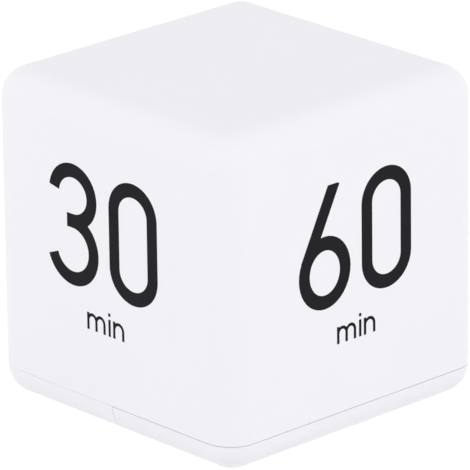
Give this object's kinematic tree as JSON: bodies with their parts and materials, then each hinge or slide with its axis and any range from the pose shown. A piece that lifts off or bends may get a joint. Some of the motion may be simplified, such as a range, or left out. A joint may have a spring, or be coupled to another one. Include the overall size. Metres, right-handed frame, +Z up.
{
  "type": "cube timer",
  "caption": "White cube timer with rounded edges, started by turning a numbered side face up. Display, volume switch and sliding battery door are on its base.",
  "frame": {"origin": "middle of the base face, which the cube rests on", "axes": "+Z up, -Y out of the face of the 30, +X out of the face of the 60, towards which the battery door slides off"},
  "size_m": [0.063, 0.063, 0.063],
  "materials": {
    "white_plastic": "satin white moulded plastic with a very fine texture",
    "white_inner_plastic": "plain white moulded plastic",
    "grey_plastic": "grey moulded plastic",
    "dark_plastic": "dark moulded plastic",
    "clear_plastic": "clear polished plastic",
    "display_glass": "grey green display glass",
    "black_rubber": "soft black rubber",
    "black_epoxy": "black epoxy",
    "green_laminate": "green lacquered laminate",
    "ceramic": "dark ceramic with tinned ends",
    "plated_steel": "nickel plated steel",
    "brass": "bright brass sheet",
    "cell_jacket": "printed foil sleeve over a steel can",
    "red_sleeve": "red insulation",
    "black_sleeve": "black insulation"
  },
  "bodies": {
    "case": {"top_shell": "white_plastic", "base_shell": "white_plastic", "display_window": "clear_plastic", "display_glass": "display_glass", "display_frame": "white_inner_plastic", "display_connector": "black_rubber", "main_board": "green_laminate", "controller_blob": "black_epoxy", "timing_crystal": "plated_steel", "filter_capacitor": "dark_plastic", "chip_resistor_1": "ceramic", "chip_resistor_2": "ceramic", "chip_resistor_3": "ceramic", "sensor_cage": "dark_plastic", "sensor_lid": "dark_plastic", "sensor_common_plate": "brass", "sensor_contact_1": "brass", "sensor_contact_2": "brass", "sensor_contact_3": "brass", "sensor_contact_4": "brass", "switch_frame": "plated_steel", "switch_base": "green_laminate", "buzzer_case": "dark_plastic", "buzzer_disc": "brass", "battery_cell_1": "cell_jacket", "battery_cell_2": "cell_jacket", "contact_plus_plate": "plated_steel", "contact_minus_plate": "plated_steel", "contact_minus_spring": "plated_steel", "contact_bridge_plate": "plated_steel", "contact_bridge_spring": "plated_steel", "battery_lead_red": "red_sleeve", "battery_lead_black": "black_sleeve", "case_screw_1": "plated_steel", "case_screw_2": "plated_steel", "board_screw_1": "plated_steel", "board_screw_2": "plated_steel", "board_screw_3": "plated_steel", "board_screw_4": "plated_steel"},
    "door": {"battery_door": "white_plastic"},
    "switch": {"switch_slider": "dark_plastic", "switch_knob": "grey_plastic"},
    "ball": {"sensor_ball": "plated_steel"}
  },
  "joints": [
    {"name": "door_slide", "type": "slide", "parent": "case", "child": "door", "axis": [1, 0, 0], "range_m": [0, 0.0255]},
    {"name": "switch_slide", "type": "slide", "parent": "case", "child": "switch", "axis": [0, 1, 0], "range_m": [0, 0.004]},
    {"name": "ball_roll", "type": "slide", "parent": "case", "child": "ball", "axis": [1, 0, 0], "range_m": [-0.0033, 0.0033]}
  ]
}
